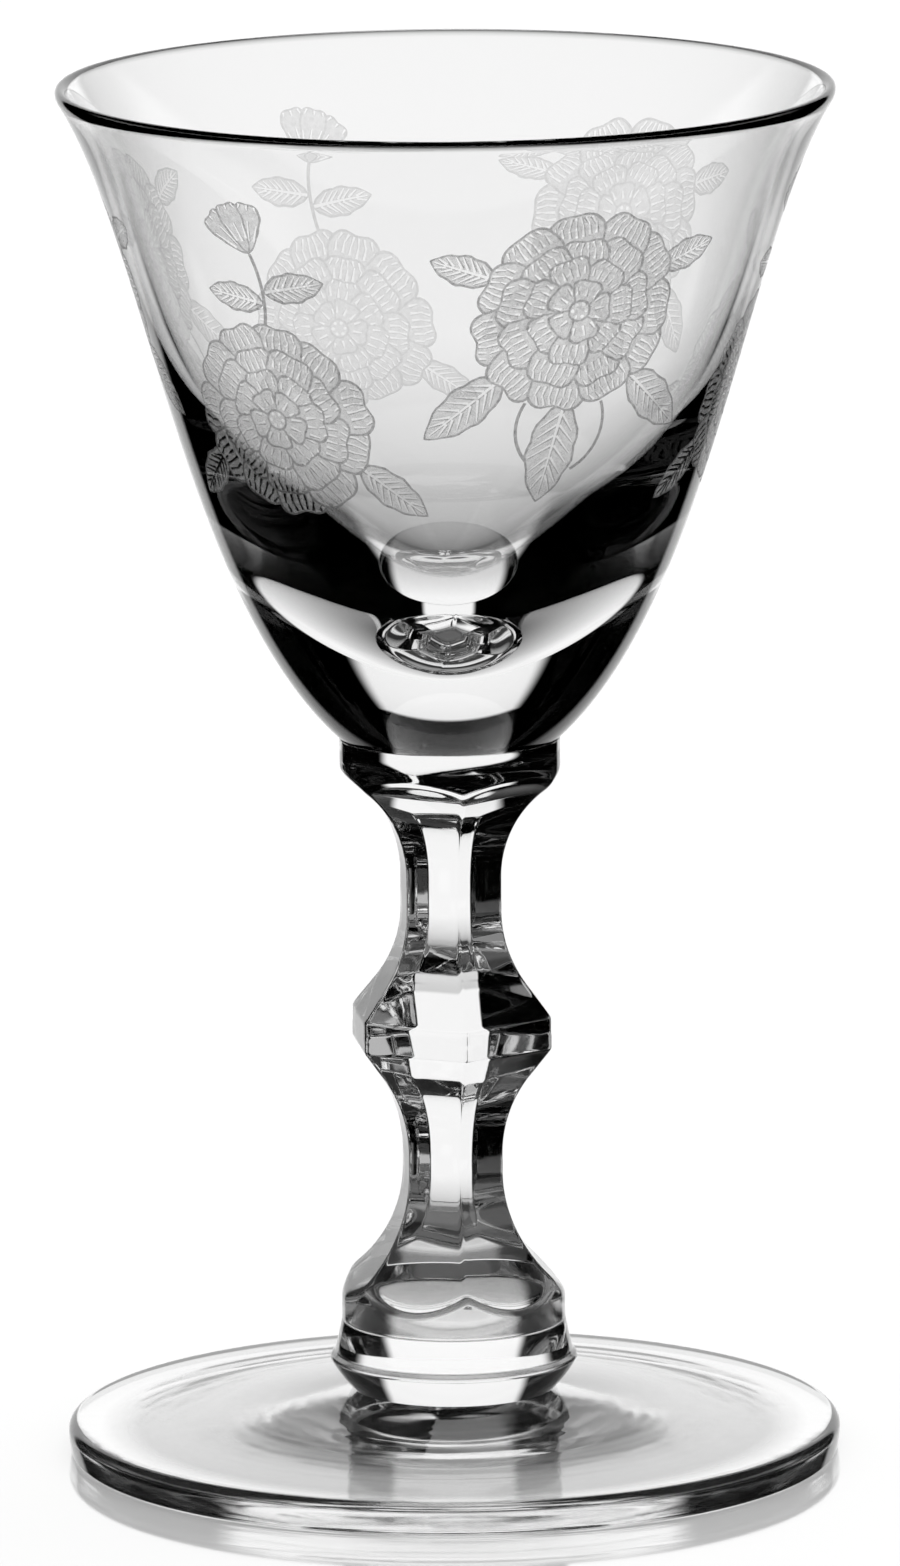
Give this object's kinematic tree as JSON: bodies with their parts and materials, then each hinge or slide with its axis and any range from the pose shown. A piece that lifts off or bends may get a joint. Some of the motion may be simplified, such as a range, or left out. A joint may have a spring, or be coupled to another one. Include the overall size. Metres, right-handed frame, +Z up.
{
  "type": "cordial glass",
  "caption": "Small stemmed liqueur glass with a flared conical bowl on a heavy clear base, a faceted waisted stem with a hexagonal knop, a flanged button merese and a round foot.",
  "frame": {"origin": "centre of the plane that the foot rests on", "axes": "+Z up along the glass's axis; -Y faces the viewer, along a corner of the faceted stem"},
  "size_m": [0.0602, 0.0602, 0.1074],
  "materials": {
    "clear_glass": "clear polished crystal, with a frosted etched floral band on the bowl"
  },
  "bodies": {
    "root": {"bowl": "clear_glass", "stem": "clear_glass", "merese": "clear_glass", "foot": "clear_glass"}
  },
  "joints": []
}
